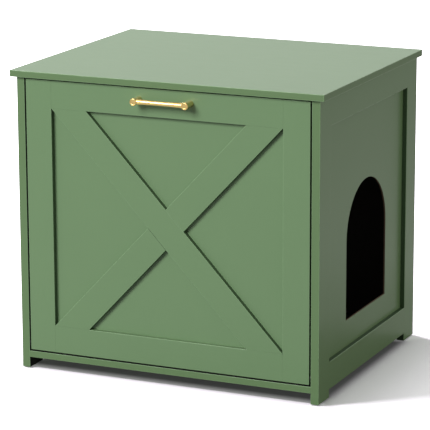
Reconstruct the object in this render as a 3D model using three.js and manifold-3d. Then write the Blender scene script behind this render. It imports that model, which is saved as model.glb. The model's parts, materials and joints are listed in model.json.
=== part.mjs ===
// Cat litter box cabinet: a framed wooden box on four legs, with a cross-braced
// drop-down front door, a bar handle and an arched entrance in its right side.
// Millimetres, +Z up. The front faces -Y and the arched side faces +X.

import * as THREE from 'three';
import { mergeVertices } from 'three/addons/utils/BufferGeometryUtils.js';
import Module from 'manifold-3d';

const wasm = await Module();
wasm.setup();

// ---------------------------------------------------------------- driving dimensions

// Whole cabinet.
const CABINET_HEIGHT = 550;
const CARCASS_WIDTH = 580;
const CARCASS_DEPTH = 480;

// Top and base boards.
const TOP_THICKNESS = 12;
const TOP_SIDE_OVERHANG = 10;
const TOP_FRONT_OVERHANG = 8;
const BASE_THICKNESS = 12;
const BASE_UNDERSIDE = 21;

// Side frames: two legs and two rails round a thin panel.
const SIDE_THICKNESS = 15;
const LEG_WIDTH = 50;
const SIDE_TOP_RAIL_WIDTH = 52;
const SIDE_BOTTOM_RAIL_WIDTH = 50;
const SIDE_RAIL_UNDERSIDE = 16;
const SIDE_PANEL_THICKNESS = 3;
const SIDE_PANEL_RECESS = 8.5;
const SIDE_GROOVE_DEPTH = 8;

// Arched entrance in the right side panel.
const ARCH_WIDTH = 196;
const ARCH_SILL = 114;
const ARCH_HEIGHT = 240;
const ARCH_CENTRE_FROM_FRONT = 247;

// Back panel, held in grooves of the rear legs, top and base.
const BACK_THICKNESS = 4;
const BACK_INSET = 8;
const BACK_GROOVE_DEPTH = 5;

// Door: a frame round a thin panel, with a cross brace on its face.
const DOOR_THICKNESS = 15;
const DOOR_GAP = 3;
const DOOR_STILE_WIDTH = 50;
const DOOR_RAIL_WIDTH = 50;
const DOOR_PANEL_THICKNESS = 4;
const DOOR_PANEL_RECESS = 9.5;
const DOOR_GROOVE_DEPTH = 8;
const BRACE_WIDTH = 50;

// Pivot pins at the door's lower corners and their bushes in the front legs.
const PIVOT_INSET = 6;
const PIVOT_RISE = 12;
const PIN_RADIUS = 3;
const PIN_DEPTH_IN_DOOR = 20;
const PIN_DEPTH_IN_BUSH = 8;
const PIN_END_EASE = 0.6;
const BUSH_RADIUS = 5;
const BUSH_DEPTH = 10;
const BUSH_FLANGE_RADIUS = 6;
const BUSH_FLANGE_THICKNESS = 1;

// Bar handle on the door's top rail.
const HANDLE_PROJECTION = 25;
const HANDLE_POST_SPACING = 98;
const HANDLE_POST_RADIUS = 6.5;
const HANDLE_BAR_END_RADIUS = 5.4;
const HANDLE_BAR_WAIST_RADIUS = 4.3;
const HANDLE_ABOVE_RAIL_CENTRE = 4;
const HANDLE_DISH_RADIUS = 4.8;
const HANDLE_DISH_DEPTH = 0.8;
const HANDLE_SCREW_RADIUS = 2;
const HANDLE_SCREW_REACH = 11;
const HANDLE_SCREW_HEAD_RADIUS = 4;
const HANDLE_SCREW_HEAD_HEIGHT = 2.4;
const HANDLE_SCREW_CROSS_LENGTH = 4;
const HANDLE_SCREW_CROSS_WIDTH = 0.8;
const HANDLE_SCREW_CROSS_DEPTH = 1.2;

// Magnetic catches under the top and their strike plates on the door's back.
const CATCH_FROM_SIDE = 105;
const CATCH_BODY_LENGTH = 28;
const CATCH_EAR_LENGTH = 10;
const CATCH_EAR_HEIGHT = 2.5;
const CATCH_HEIGHT = 13;
const CATCH_DEPTH = 14;
const STRIKE_LENGTH = 24;
const STRIKE_HEIGHT = 12;
const STRIKE_THICKNESS = 1.2;
const SMALL_SCREW_RADIUS = 1.5;
const SMALL_SCREW_HEAD_RADIUS = 2.8;
const SMALL_SCREW_HEAD_HEIGHT = 1.6;
const SMALL_SCREW_TIP_LENGTH = 3;
const SMALL_SCREW_CROSS_LENGTH = 3.4;
const SMALL_SCREW_CROSS_WIDTH = 0.8;
const SMALL_SCREW_CROSS_DEPTH = 0.8;
const CATCH_SCREW_REACH = 8;
const STRIKE_SCREW_REACH = 7;

// Cam locks and their bolts, which pull the sides to the top and the base.
const CAM_RADIUS = 7.5;
const CAM_HEIGHT = 10;
const CAM_SLOT_RADIUS = 3.5;
const CAM_RECESS_LENGTH = 8;
const CAM_RECESS_WIDTH = 1.6;
const CAM_RECESS_DEPTH = 1.8;
const CAM_BACKSET = 24;
const CAM_FROM_LEG = 30;
const BOLT_THREAD_RADIUS = 3;
const BOLT_THREAD_LENGTH = 9;
const BOLT_SHANK_RADIUS = 2.5;
const BOLT_NECK_RADIUS = 1.6;
const BOLT_NECK_LENGTH = 3;
const BOLT_HEAD_RADIUS = 2.8;
const BOLT_HEAD_LENGTH = 2.6;

// Nail-on glides under the legs.
const GLIDE_RADIUS = 6;
const GLIDE_THICKNESS = 1.5;
const GLIDE_NAIL_RADIUS = 1;
const GLIDE_NAIL_LENGTH = 12;

// Gaps: between glued boards, round fitted pieces, and round what turns or slides in.
const GLUE_GAP = 0.1;
const FIT_GAP = 0.3;
const RUNNING_GAP = 0.1;

// ---------------------------------------------------------------- derived places

const SIDE_OUTER_X = CARCASS_WIDTH / 2;
const SIDE_INNER_X = SIDE_OUTER_X - SIDE_THICKNESS;
const TOP_UNDERSIDE = CABINET_HEIGHT - TOP_THICKNESS;
const BASE_TOP = BASE_UNDERSIDE + BASE_THICKNESS;
const SIDE_OPENING_TOP = TOP_UNDERSIDE - SIDE_TOP_RAIL_WIDTH;
const SIDE_OPENING_BOTTOM = SIDE_RAIL_UNDERSIDE + SIDE_BOTTOM_RAIL_WIDTH;
const REAR_LEG_FRONT = CARCASS_DEPTH - LEG_WIDTH;
const CAM_STATIONS = [LEG_WIDTH + CAM_FROM_LEG, REAR_LEG_FRONT - CAM_FROM_LEG];

const DOOR_BOTTOM = BASE_TOP + DOOR_GAP;
const DOOR_TOP = TOP_UNDERSIDE - DOOR_GAP;
const DOOR_HALF_WIDTH = SIDE_INNER_X - DOOR_GAP;
const OPENING_HALF_WIDTH = DOOR_HALF_WIDTH - DOOR_STILE_WIDTH;
const OPENING_BOTTOM = DOOR_BOTTOM + DOOR_RAIL_WIDTH;
const OPENING_TOP = DOOR_TOP - DOOR_RAIL_WIDTH;
const PIVOT_Z = DOOR_BOTTOM + PIVOT_RISE;
const HANDLE_Z = (OPENING_TOP + DOOR_TOP) / 2 + HANDLE_ABOVE_RAIL_CENTRE;
const CATCH_X = SIDE_INNER_X - CATCH_FROM_SIDE;
const HANDLE_STATIONS = [-HANDLE_POST_SPACING / 2, HANDLE_POST_SPACING / 2];

// The origin is at the middle of the floor area that the cabinet and its handle cover.
const ORIGIN_Y = (CARCASS_DEPTH - HANDLE_PROJECTION) / 2;

const SIDES = [{ side: -1, label: 'left' }, { side: 1, label: 'right' }];

const ROUND_STEPS = 32;
const SMALL_ROUND_STEPS = 16;

// ---------------------------------------------------------------- materials

const finish = (color, roughness, metalness) =>
  new THREE.MeshStandardMaterial({ color, roughness, metalness });

const PAINTED_WOOD = finish(0x74906a, 0.55, 0);
const PAINTED_PANEL = finish(0x6f8b66, 0.6, 0);
const BRUSHED_BRASS = finish(0xd8b062, 0.3, 1);
const BRIGHT_STEEL = finish(0xb9bcc0, 0.35, 1);
const DARK_STEEL = finish(0x6d6f73, 0.45, 1);
const DARK_PLASTIC = finish(0x1e211e, 0.6, 0);
const WHITE_PLASTIC = finish(0xe6e4dc, 0.5, 0);

// ---------------------------------------------------------------- solids

const X_AXIS = new THREE.Vector3(1, 0, 0);
const Y_AXIS = new THREE.Vector3(0, 1, 0);
const Z_AXIS = new THREE.Vector3(0, 0, 1);

/** A closed manifold solid from a mesh, placed as the mesh is. */
function solidOf(mesh) {
  mesh.updateMatrix();
  const bare = mesh.geometry.clone().applyMatrix4(mesh.matrix);
  bare.deleteAttribute('normal');
  bare.deleteAttribute('uv');
  const merged = mergeVertices(bare);
  return new wasm.Manifold(new wasm.Mesh({
    numProp: 3,
    vertProperties: new Float32Array(merged.attributes.position.array),
    triVerts: new Uint32Array(merged.index.array),
  }));
}

/** Replaces a mesh's geometry with a solid given in its parent's frame. */
function takeShape(mesh, solid) {
  const shape = solid.getMesh();
  const geometry = new THREE.BufferGeometry();
  geometry.setAttribute('position', new THREE.BufferAttribute(shape.vertProperties, 3));
  geometry.setIndex(new THREE.BufferAttribute(shape.triVerts, 1));
  mesh.updateMatrix();
  geometry.applyMatrix4(mesh.matrix.clone().invert());
  geometry.computeVertexNormals();
  mesh.geometry = geometry;
  return mesh;
}

/** Cuts tools out of a mesh; all of them stand in the same parent's frame. */
function cut(mesh, tools) {
  const solid = tools.reduce((rest, tool) => rest.subtract(solidOf(tool)), solidOf(mesh));
  return takeShape(mesh, solid);
}

/** Joins other meshes into a mesh; all of them stand in the same parent's frame. */
function join(mesh, others) {
  const solid = others.reduce((sum, other) => sum.add(solidOf(other)), solidOf(mesh));
  return takeShape(mesh, solid);
}

function piece(name, geometry, material) {
  const mesh = new THREE.Mesh(geometry, material);
  mesh.name = name;
  return mesh;
}

/** A board between two opposite corners. */
function board(name, material, [x0, y0, z0], [x1, y1, z1]) {
  const mesh = piece(name, new THREE.BoxGeometry(Math.abs(x1 - x0), y1 - y0, z1 - z0), material);
  mesh.position.set((x0 + x1) / 2, (y0 + y1) / 2, (z0 + z1) / 2);
  return mesh;
}

/** The room that a box-shaped mesh needs, a gap larger all round. */
function roomFor(mesh, gap) {
  mesh.geometry.computeBoundingBox();
  const size = mesh.geometry.boundingBox.getSize(new THREE.Vector3());
  const room = new THREE.Mesh(
    new THREE.BoxGeometry(size.x + 2 * gap, size.y + 2 * gap, size.z + 2 * gap),
  );
  room.position.copy(mesh.position);
  return room;
}

/** A turned solid: [radius, distance] pairs along an axis from a starting point. */
function turned(name, material, profile, start, axis, steps = ROUND_STEPS) {
  const points = profile.map(([radius, along]) => new THREE.Vector2(radius, along));
  const mesh = piece(name, new THREE.LatheGeometry(points, steps), material);
  mesh.quaternion.setFromUnitVectors(Y_AXIS, axis);
  mesh.position.set(...start);
  return mesh;
}

/** A plain round bar or drill from a starting point along an axis. */
function rod(radius, length, start, axis, steps = ROUND_STEPS) {
  return turned('', undefined, [[0, 0], [radius, 0], [radius, length], [0, length]], start, axis, steps);
}

/** A flat outline in X and Z, made solid from one Y to another. */
function slab(name, material, outline, front, back) {
  const geometry = new THREE.ExtrudeGeometry(outline, {
    depth: back - front, bevelEnabled: false, curveSegments: ROUND_STEPS / 2,
  });
  geometry.rotateX(Math.PI / 2);
  const mesh = piece(name, geometry, material);
  mesh.position.y = back;
  return mesh;
}

/** A polygon's outline from its corners. */
const polygon = (corners) => new THREE.Shape(corners.map(([x, y]) => new THREE.Vector2(x, y)));

/** A cross-shaped driver recess, cut into a face at a point. */
function driverRecess([x, y, z], axis, length, width, depth) {
  const across = [[length, width], [width, length]];
  return across.map(([a, b]) => {
    const bar = new THREE.Mesh(new THREE.BoxGeometry(a, 2 * depth, b));
    bar.quaternion.setFromUnitVectors(Y_AXIS, axis);
    bar.position.set(x, y, z);
    return bar;
  });
}

// ---------------------------------------------------------------- fasteners

/** A countersunk screw whose head's face is at a point, pointing along an axis. */
function flatHeadScrew(name, face, axis, reach) {
  const screw = turned(name, BRIGHT_STEEL, [
    [0, 0],
    [SMALL_SCREW_HEAD_RADIUS, 0],
    [SMALL_SCREW_RADIUS, SMALL_SCREW_HEAD_HEIGHT],
    [SMALL_SCREW_RADIUS, reach - SMALL_SCREW_TIP_LENGTH],
    [0, reach],
  ], face, axis, SMALL_ROUND_STEPS);
  return cut(screw, driverRecess(
    face, axis, SMALL_SCREW_CROSS_LENGTH, SMALL_SCREW_CROSS_WIDTH, SMALL_SCREW_CROSS_DEPTH,
  ));
}

/** The room for a countersunk screw. */
function flatHeadRoom([x, y, z], axis, reach) {
  const start = new THREE.Vector3(x, y, z).addScaledVector(axis, -FIT_GAP).toArray();
  return turned('', undefined, [
    [0, 0],
    [SMALL_SCREW_HEAD_RADIUS + FIT_GAP, 0],
    [SMALL_SCREW_HEAD_RADIUS + FIT_GAP, FIT_GAP],
    [SMALL_SCREW_RADIUS + RUNNING_GAP, SMALL_SCREW_HEAD_HEIGHT + 2 * FIT_GAP],
    [SMALL_SCREW_RADIUS + RUNNING_GAP, reach + 2 * FIT_GAP],
    [0, reach + 2 * FIT_GAP],
  ], start, axis, SMALL_ROUND_STEPS);
}

/**
 * A cam lock and its bolt. The bolt is screwed into one board, crosses the joint at a
 * point, and its head sits in the cam, which lies in a pocket of the other board.
 */
function camJoint(name, joint, boltAxis, camAxis) {
  const centre = new THREE.Vector3(...joint).addScaledVector(boltAxis, CAM_BACKSET);
  const halfHeight = CAM_HEIGHT / 2;
  const camStart = centre.clone().addScaledVector(camAxis, -halfHeight).toArray();
  const camFace = centre.clone().addScaledVector(camAxis, halfHeight).toArray();
  const boltStart = new THREE.Vector3(...joint).addScaledVector(boltAxis, -BOLT_THREAD_LENGTH);
  const headStart = BOLT_THREAD_LENGTH + CAM_BACKSET - BOLT_HEAD_LENGTH / 2;
  const neckStart = headStart - BOLT_NECK_LENGTH;

  const bolt = turned(`${name}_cam_bolt`, BRIGHT_STEEL, [
    [0, 0],
    [BOLT_THREAD_RADIUS, 0],
    [BOLT_THREAD_RADIUS, BOLT_THREAD_LENGTH],
    [BOLT_SHANK_RADIUS, BOLT_THREAD_LENGTH],
    [BOLT_SHANK_RADIUS, neckStart],
    [BOLT_NECK_RADIUS, neckStart],
    [BOLT_NECK_RADIUS, headStart],
    [BOLT_HEAD_RADIUS, headStart],
    [BOLT_HEAD_RADIUS, headStart + BOLT_HEAD_LENGTH],
    [0, headStart + BOLT_HEAD_LENGTH],
  ], boltStart.toArray(), boltAxis, SMALL_ROUND_STEPS);

  const slotLength = CAM_BACKSET + BOLT_HEAD_LENGTH;
  const cam = turned(`${name}_cam_lock`, DARK_STEEL, [
    [0, 0], [CAM_RADIUS, 0], [CAM_RADIUS, CAM_HEIGHT], [0, CAM_HEIGHT],
  ], camStart, camAxis, ROUND_STEPS);
  cut(cam, [
    rod(CAM_SLOT_RADIUS, slotLength, joint, boltAxis, SMALL_ROUND_STEPS),
    ...driverRecess(camFace, camAxis, CAM_RECESS_LENGTH, CAM_RECESS_WIDTH, CAM_RECESS_DEPTH),
  ]);

  const threadHole = rod(
    BOLT_THREAD_RADIUS + RUNNING_GAP, BOLT_THREAD_LENGTH + 2 * FIT_GAP,
    boltStart.clone().addScaledVector(boltAxis, -FIT_GAP).toArray(), boltAxis, SMALL_ROUND_STEPS,
  );
  const shankHole = rod(CAM_SLOT_RADIUS, slotLength, joint, boltAxis, SMALL_ROUND_STEPS);
  const pocket = rod(
    CAM_RADIUS + FIT_GAP, CAM_HEIGHT + SIDE_THICKNESS,
    centre.clone().addScaledVector(camAxis, -halfHeight - FIT_GAP).toArray(), camAxis,
  );
  return { pieces: [cam, bolt], threadTools: [threadHole], camTools: [shankHole, pocket] };
}

/** The two cam joints between one side and the top, or one side and the base. */
function camJoints(side, label) {
  const inward = X_AXIS.clone().multiplyScalar(-side);
  const down = Z_AXIS.clone().negate();
  const places = ['front', 'rear'];
  const camCentreFromFace = CAM_HEIGHT / 2;
  const toTop = CAM_STATIONS.map((y, index) => camJoint(
    `${label}_top_${places[index]}`,
    [side * (SIDE_INNER_X + camCentreFromFace), y, TOP_UNDERSIDE], down, inward,
  ));
  const toBase = CAM_STATIONS.map((y, index) => camJoint(
    `${label}_base_${places[index]}`,
    [side * SIDE_INNER_X, y, BASE_UNDERSIDE + camCentreFromFace], inward, down,
  ));
  return { toTop, toBase };
}

/** The pieces or the cutting tools of several joints, by their kind. */
const partsOf = (joints, kind) => joints.flatMap((joint) => joint[kind]);

// ---------------------------------------------------------------- side frames

/** The outline of the arched entrance: upright sides under a half circle. */
function archOutline() {
  const radius = ARCH_WIDTH / 2;
  const spring = ARCH_SILL + ARCH_HEIGHT - radius;
  const outline = new THREE.Shape();
  outline.moveTo(-radius, ARCH_SILL);
  outline.lineTo(radius, ARCH_SILL);
  outline.lineTo(radius, spring);
  outline.absarc(0, spring, radius, 0, Math.PI);
  outline.closePath();
  return outline;
}

/** A drill for the arched entrance, wide enough to run through the right side. */
function archCutter() {
  const reach = 2 * SIDE_THICKNESS;
  const geometry = new THREE.ExtrudeGeometry(archOutline(), {
    depth: reach, bevelEnabled: false, curveSegments: ROUND_STEPS,
  });
  geometry.rotateX(Math.PI / 2);
  geometry.rotateZ(Math.PI / 2);
  const cutter = new THREE.Mesh(geometry);
  cutter.position.set(SIDE_OUTER_X - SIDE_THICKNESS / 2 - reach / 2, ARCH_CENTRE_FROM_FRONT, 0);
  return cutter;
}

/** The thin panel of a side, held in grooves of its legs and rails. */
function sidePanel(side, label) {
  const outer = SIDE_OUTER_X - SIDE_PANEL_RECESS;
  const grip = SIDE_GROOVE_DEPTH - FIT_GAP;
  return board(
    `${label}_panel`, PAINTED_PANEL,
    [side * (outer - SIDE_PANEL_THICKNESS), LEG_WIDTH - grip, SIDE_OPENING_BOTTOM - grip],
    [side * outer, REAR_LEG_FRONT + grip, SIDE_OPENING_TOP + grip],
  );
}

/** A glide under a leg, with its nail up in the leg. */
function legGlide(name, x, y) {
  return turned(name, DARK_PLASTIC, [
    [0, 0],
    [GLIDE_RADIUS, 0],
    [GLIDE_RADIUS, GLIDE_THICKNESS - GLUE_GAP],
    [GLIDE_NAIL_RADIUS, GLIDE_THICKNESS - GLUE_GAP],
    [GLIDE_NAIL_RADIUS, GLIDE_THICKNESS + GLIDE_NAIL_LENGTH],
    [0, GLIDE_THICKNESS + GLIDE_NAIL_LENGTH],
  ], [x, y, 0], Z_AXIS, SMALL_ROUND_STEPS);
}

const glideNailHole = (x, y) => rod(
  GLIDE_NAIL_RADIUS + RUNNING_GAP, GLIDE_THICKNESS + GLIDE_NAIL_LENGTH + FIT_GAP, [x, y, 0], Z_AXIS,
  SMALL_ROUND_STEPS,
);

/** One side: legs, rails, panel and glides. */
function sideFrame(side, label, joints, backRoom) {
  const inner = side * SIDE_INNER_X;
  const outer = side * SIDE_OUTER_X;
  const legTop = TOP_UNDERSIDE - GLUE_GAP;
  const panel = sidePanel(side, label);
  const panelRoom = roomFor(panel, FIT_GAP);
  const glideX = side * (SIDE_OUTER_X - SIDE_THICKNESS / 2);
  const glideY = { front: LEG_WIDTH / 2, rear: CARCASS_DEPTH - LEG_WIDTH / 2 };
  const bushHole = rod(
    BUSH_RADIUS + RUNNING_GAP, BUSH_DEPTH + FIT_GAP + GLUE_GAP,
    [side * (SIDE_INNER_X - GLUE_GAP), PIVOT_INSET, PIVOT_Z], X_AXIS.clone().multiplyScalar(side),
  );

  const frontLeg = cut(
    board(`${label}_front_leg`, PAINTED_WOOD,
      [inner, 0, GLIDE_THICKNESS], [outer, LEG_WIDTH, legTop]),
    [panelRoom, bushHole, glideNailHole(glideX, glideY.front)],
  );
  const rearLeg = cut(
    board(`${label}_rear_leg`, PAINTED_WOOD,
      [inner, REAR_LEG_FRONT, GLIDE_THICKNESS], [outer, CARCASS_DEPTH, legTop]),
    [panelRoom, backRoom, glideNailHole(glideX, glideY.rear)],
  );
  const railFront = LEG_WIDTH + GLUE_GAP;
  const railRear = REAR_LEG_FRONT - GLUE_GAP;
  const topRail = cut(
    board(`${label}_top_rail`, PAINTED_WOOD,
      [inner, railFront, SIDE_OPENING_TOP], [outer, railRear, legTop]),
    [panelRoom, ...partsOf(joints.toTop, 'camTools')],
  );
  const bottomRail = cut(
    board(`${label}_bottom_rail`, PAINTED_WOOD,
      [inner, railFront, SIDE_RAIL_UNDERSIDE], [outer, railRear, SIDE_OPENING_BOTTOM]),
    [panelRoom, ...partsOf(joints.toBase, 'threadTools')],
  );
  if (side > 0) {
    cut(panel, [archCutter()]);
  }

  const frame = new THREE.Group();
  frame.add(frontLeg, rearLeg, topRail, bottomRail, panel);
  frame.add(legGlide(`${label}_front_glide`, glideX, glideY.front));
  frame.add(legGlide(`${label}_rear_glide`, glideX, glideY.rear));
  frame.add(pivotBush(side, label));
  return frame;
}

/** The flanged bush in a front leg that the door's pivot pin turns in. */
function pivotBush(side, label) {
  const bore = PIN_RADIUS + RUNNING_GAP;
  const boreEnd = BUSH_FLANGE_THICKNESS + PIN_DEPTH_IN_BUSH + FIT_GAP;
  const length = BUSH_FLANGE_THICKNESS + BUSH_DEPTH;
  const outward = X_AXIS.clone().multiplyScalar(side);
  return turned(`${label}_pivot_bush`, DARK_PLASTIC, [
    [0, boreEnd],
    [bore, boreEnd],
    [bore, 0],
    [BUSH_FLANGE_RADIUS, 0],
    [BUSH_FLANGE_RADIUS, BUSH_FLANGE_THICKNESS - GLUE_GAP],
    [BUSH_RADIUS, BUSH_FLANGE_THICKNESS - GLUE_GAP],
    [BUSH_RADIUS, length],
    [0, length],
  ], [side * (SIDE_INNER_X - BUSH_FLANGE_THICKNESS), PIVOT_INSET, PIVOT_Z], outward);
}

// ---------------------------------------------------------------- top, base and back

function backPanel() {
  const grip = BACK_GROOVE_DEPTH - FIT_GAP;
  const rear = CARCASS_DEPTH - BACK_INSET;
  const halfWidth = SIDE_INNER_X + grip;
  return board(
    'back_panel', PAINTED_PANEL,
    [-halfWidth, rear - BACK_THICKNESS, BASE_TOP - grip], [halfWidth, rear, TOP_UNDERSIDE + grip],
  );
}

function topPanel(joints, catches, backRoom) {
  const halfWidth = SIDE_OUTER_X + TOP_SIDE_OVERHANG;
  const panel = board(
    'top_panel', PAINTED_WOOD,
    [-halfWidth, -TOP_FRONT_OVERHANG, TOP_UNDERSIDE], [halfWidth, CARCASS_DEPTH, CABINET_HEIGHT],
  );
  return cut(panel, [backRoom, ...joints.flatMap(({ toTop }) => partsOf(toTop, 'threadTools')),
    ...catches.flatMap(({ screwRooms }) => screwRooms)]);
}

function basePanel(joints, backRoom) {
  const halfWidth = SIDE_INNER_X - GLUE_GAP;
  const panel = board(
    'base_panel', PAINTED_WOOD, [-halfWidth, 0, BASE_UNDERSIDE], [halfWidth, CARCASS_DEPTH, BASE_TOP],
  );
  return cut(panel, [backRoom, ...joints.flatMap(({ toBase }) => partsOf(toBase, 'camTools'))]);
}

// ---------------------------------------------------------------- magnetic catches

/** A catch under the top: its housing with two screwed ears, behind the closed door. */
function magneticCatch(side, label) {
  const centre = side * CATCH_X;
  const top = TOP_UNDERSIDE - GLUE_GAP;
  const halfBody = CATCH_BODY_LENGTH / 2;
  const halfLength = halfBody + CATCH_EAR_LENGTH;
  const front = DOOR_THICKNESS + STRIKE_THICKNESS + 2 * FIT_GAP;
  const housing = slab(`${label}_catch`, WHITE_PLASTIC, polygon([
    [centre - halfLength, top], [centre - halfLength, top - CATCH_EAR_HEIGHT],
    [centre - halfBody, top - CATCH_EAR_HEIGHT], [centre - halfBody, top - CATCH_HEIGHT],
    [centre + halfBody, top - CATCH_HEIGHT], [centre + halfBody, top - CATCH_EAR_HEIGHT],
    [centre + halfLength, top - CATCH_EAR_HEIGHT], [centre + halfLength, top],
  ]), front, front + CATCH_DEPTH);
  const earCentre = halfBody + CATCH_EAR_LENGTH / 2;
  const faces = [centre - earCentre, centre + earCentre].map(
    (x) => [x, front + CATCH_DEPTH / 2, top - CATCH_EAR_HEIGHT],
  );
  const screwRooms = faces.map((face) => flatHeadRoom(face, Z_AXIS, CATCH_SCREW_REACH));
  cut(housing, screwRooms);
  const screws = faces.map((face, index) => flatHeadScrew(
    `${label}_catch_screw_${index + 1}`, face, Z_AXIS, CATCH_SCREW_REACH,
  ));
  return { pieces: [housing, ...screws], screwRooms };
}

/** The strike plate on the door's back that a catch's magnet holds, and its screw. */
function strikePlate(side, label) {
  const centre = side * CATCH_X;
  const middle = TOP_UNDERSIDE - CATCH_HEIGHT / 2 - DOOR_GAP;
  const back = DOOR_THICKNESS + GLUE_GAP + STRIKE_THICKNESS;
  const plate = board(
    `${label}_strike_plate`, BRIGHT_STEEL,
    [centre - STRIKE_LENGTH / 2, DOOR_THICKNESS + GLUE_GAP, middle - STRIKE_HEIGHT / 2],
    [centre + STRIKE_LENGTH / 2, back, middle + STRIKE_HEIGHT / 2],
  );
  const forward = Y_AXIS.clone().negate();
  const face = [centre, back, middle];
  const screwRoom = flatHeadRoom(face, forward, STRIKE_SCREW_REACH);
  cut(plate, [screwRoom]);
  const screw = flatHeadScrew(`${label}_strike_screw`, face, forward, STRIKE_SCREW_REACH);
  return { pieces: [plate, screw], screwRoom };
}

// ---------------------------------------------------------------- handle

/** The bar handle: two round posts with dished ends, and a bar waisted in its middle. */
function barHandle() {
  const postLength = HANDLE_PROJECTION - GLUE_GAP;
  const forward = Y_AXIS.clone().negate();
  const post = (x) => turned('', undefined, [
    [0, 0],
    [HANDLE_POST_RADIUS, 0],
    [HANDLE_POST_RADIUS, postLength - HANDLE_DISH_DEPTH],
    [HANDLE_POST_RADIUS - HANDLE_DISH_DEPTH, postLength],
    [HANDLE_DISH_RADIUS, postLength],
    [HANDLE_DISH_RADIUS - HANDLE_DISH_DEPTH, postLength - HANDLE_DISH_DEPTH],
    [0, postLength - HANDLE_DISH_DEPTH],
  ], [x, -GLUE_GAP, HANDLE_Z], forward);
  const waist = (share) => HANDLE_BAR_WAIST_RADIUS
    + (HANDLE_BAR_END_RADIUS - HANDLE_BAR_WAIST_RADIUS) * (2 * share - 1) ** 2;
  const stations = SMALL_ROUND_STEPS;
  const profile = Array.from({ length: stations + 1 }, (_, index) => {
    const share = index / stations;
    return [waist(share), share * HANDLE_POST_SPACING];
  });
  const barY = -(HANDLE_PROJECTION - HANDLE_POST_RADIUS);
  const bar = turned('door_handle', BRUSHED_BRASS, [[0, 0], ...profile, [0, HANDLE_POST_SPACING]],
    [HANDLE_STATIONS[0], barY, HANDLE_Z], X_AXIS);
  const handle = join(bar, HANDLE_STATIONS.map(post));
  return cut(handle, HANDLE_STATIONS.map(handleScrewHole));
}

/** The straight hole through the top rail and up into a post. */
const handleScrewHole = (x) => rod(
  HANDLE_SCREW_RADIUS + RUNNING_GAP, DOOR_THICKNESS + HANDLE_SCREW_REACH + FIT_GAP,
  [x, DOOR_THICKNESS, HANDLE_Z], Y_AXIS.clone().negate(), SMALL_ROUND_STEPS,
);

/** A pan-head screw from the door's back into a handle post. */
function handleScrew(name, x) {
  const face = DOOR_THICKNESS + GLUE_GAP + HANDLE_SCREW_HEAD_HEIGHT;
  const forward = Y_AXIS.clone().negate();
  const reach = HANDLE_SCREW_HEAD_HEIGHT + GLUE_GAP + DOOR_THICKNESS + HANDLE_SCREW_REACH;
  const rounding = HANDLE_SCREW_HEAD_HEIGHT / 2;
  const screw = turned(name, BRIGHT_STEEL, [
    [0, 0],
    [HANDLE_SCREW_HEAD_RADIUS - rounding, 0],
    [HANDLE_SCREW_HEAD_RADIUS, rounding],
    [HANDLE_SCREW_HEAD_RADIUS, HANDLE_SCREW_HEAD_HEIGHT],
    [HANDLE_SCREW_RADIUS, HANDLE_SCREW_HEAD_HEIGHT],
    [HANDLE_SCREW_RADIUS, reach],
    [0, reach],
  ], [x, face, HANDLE_Z], forward, SMALL_ROUND_STEPS);
  return cut(screw, driverRecess(
    [x, face, HANDLE_Z], forward,
    HANDLE_SCREW_CROSS_LENGTH, HANDLE_SCREW_CROSS_WIDTH, HANDLE_SCREW_CROSS_DEPTH,
  ));
}

// ---------------------------------------------------------------- door

/** The thin door panel, held in grooves of the door's stiles and rails. */
function doorPanel() {
  const grip = DOOR_GROOVE_DEPTH - FIT_GAP;
  const halfWidth = OPENING_HALF_WIDTH + grip;
  return board(
    'door_panel', PAINTED_PANEL,
    [-halfWidth, DOOR_PANEL_RECESS, OPENING_BOTTOM - grip],
    [halfWidth, DOOR_PANEL_RECESS + DOOR_PANEL_THICKNESS, OPENING_TOP + grip],
  );
}

/**
 * The length that a brace of its full width takes on a rail, measured from the opening's
 * corner. Its two long edges run from opposite corners, so it follows from the opening's size.
 */
function braceFoot(width, height) {
  const a = height ** 2 - BRACE_WIDTH ** 2;
  const b = BRACE_WIDTH ** 2 * width;
  const c = BRACE_WIDTH ** 2 * (height ** 2 + width ** 2);
  return (Math.sqrt(b ** 2 + a * c) - b) / a;
}

/** The cross brace: one long board from corner to corner and two halves that butt on it. */
function braces() {
  const left = -OPENING_HALF_WIDTH + GLUE_GAP;
  const right = OPENING_HALF_WIDTH - GLUE_GAP;
  const bottom = OPENING_BOTTOM + GLUE_GAP;
  const top = OPENING_TOP - GLUE_GAP;
  const back = DOOR_PANEL_RECESS - GLUE_GAP;
  const middle = (bottom + top) / 2;
  const height = top - bottom;
  const foot = braceFoot(right - left, height);
  const run = right - left - foot;

  // The long board crosses a half's edges beside the centre and above or below it.
  // Each half stops a glue gap short of it, measured along the half.
  const beside = foot / 2 + GLUE_GAP * run / Math.hypot(run, height);
  const above = foot * height / (2 * run) + GLUE_GAP * height / Math.hypot(run, height);
  const off = beside - foot / 2;
  const rise = above - foot * height / (2 * run);

  const long = slab('door_long_brace', PAINTED_WOOD, polygon([
    [left, top], [right - foot, bottom], [right, bottom], [left + foot, top],
  ]), 0, back);
  const upper = slab('door_upper_brace', PAINTED_WOOD, polygon([
    [right, top], [right - foot, top], [off, middle + above], [beside, middle + rise],
  ]), 0, back);
  const lower = slab('door_lower_brace', PAINTED_WOOD, polygon([
    [left, bottom], [left + foot, bottom], [-off, middle - above], [-beside, middle - rise],
  ]), 0, back);
  return [long, upper, lower];
}

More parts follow.
